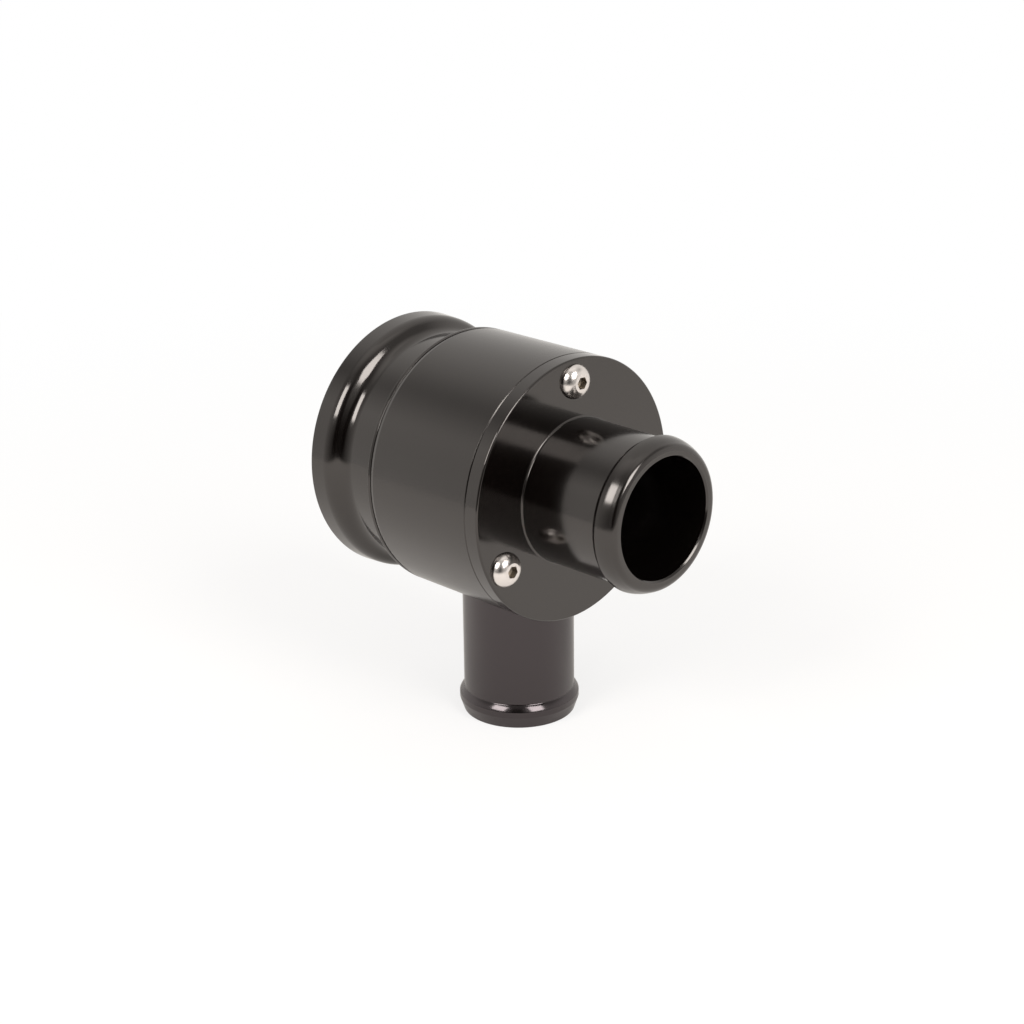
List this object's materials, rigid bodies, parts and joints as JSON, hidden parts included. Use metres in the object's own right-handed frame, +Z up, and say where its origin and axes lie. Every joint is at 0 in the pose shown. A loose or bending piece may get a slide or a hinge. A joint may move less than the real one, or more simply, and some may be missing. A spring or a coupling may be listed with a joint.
{
  "type": "blow off valve",
  "caption": "Piston blow off valve with an axial inlet hose tail, a side outlet tail, a screwed rear cap and a vacuum nipple; the sprung piston lifts off the inlet.",
  "frame": {"origin": "centre of the outlet tail's foot, which the valve stands on", "axes": "+X along the main axis towards the inlet, +Z up along the outlet's axis"},
  "size_m": [0.0979, 0.059, 0.0857],
  "materials": {
    "black_anodised": "turned, black anodised, satin gloss",
    "hard_anodised": "turned, hard anodised, dark grey",
    "stainless_steel": "bright, polished dome",
    "spring_steel": "drawn, plain",
    "seal_rubber": "matt black",
    "band_plastic": "filled low friction plastic, matt",
    "nipple_brass": "turned, plain"
  },
  "bodies": {
    "housing": {"body": "black_anodised", "inlet_flange": "black_anodised", "flange_o_ring": "seal_rubber", "outlet_spigot": "black_anodised", "outlet_o_ring": "seal_rubber", "rear_cap": "black_anodised", "cap_o_ring": "seal_rubber", "vacuum_nipple": "nipple_brass", "nipple_washer": "seal_rubber", "spring": "spring_steel", "cap_spring_seat": "spring_steel", "face_screw_top": "stainless_steel", "face_screw_left": "stainless_steel", "face_screw_right": "stainless_steel"},
    "piston": {"piston": "hard_anodised", "piston_face_seal": "seal_rubber", "piston_o_ring": "seal_rubber", "front_guide_band": "band_plastic", "rear_guide_band": "band_plastic", "piston_spring_seat": "spring_steel"}
  },
  "joints": [
    {"name": "piston_slide", "type": "slide", "parent": "housing", "child": "piston", "axis": [-1, 0, 0], "range_m": [0, 0.01], "stiffness_N_per_m": 3000, "springref_m": -0.014, "deforming": ["spring"]}
  ]
}
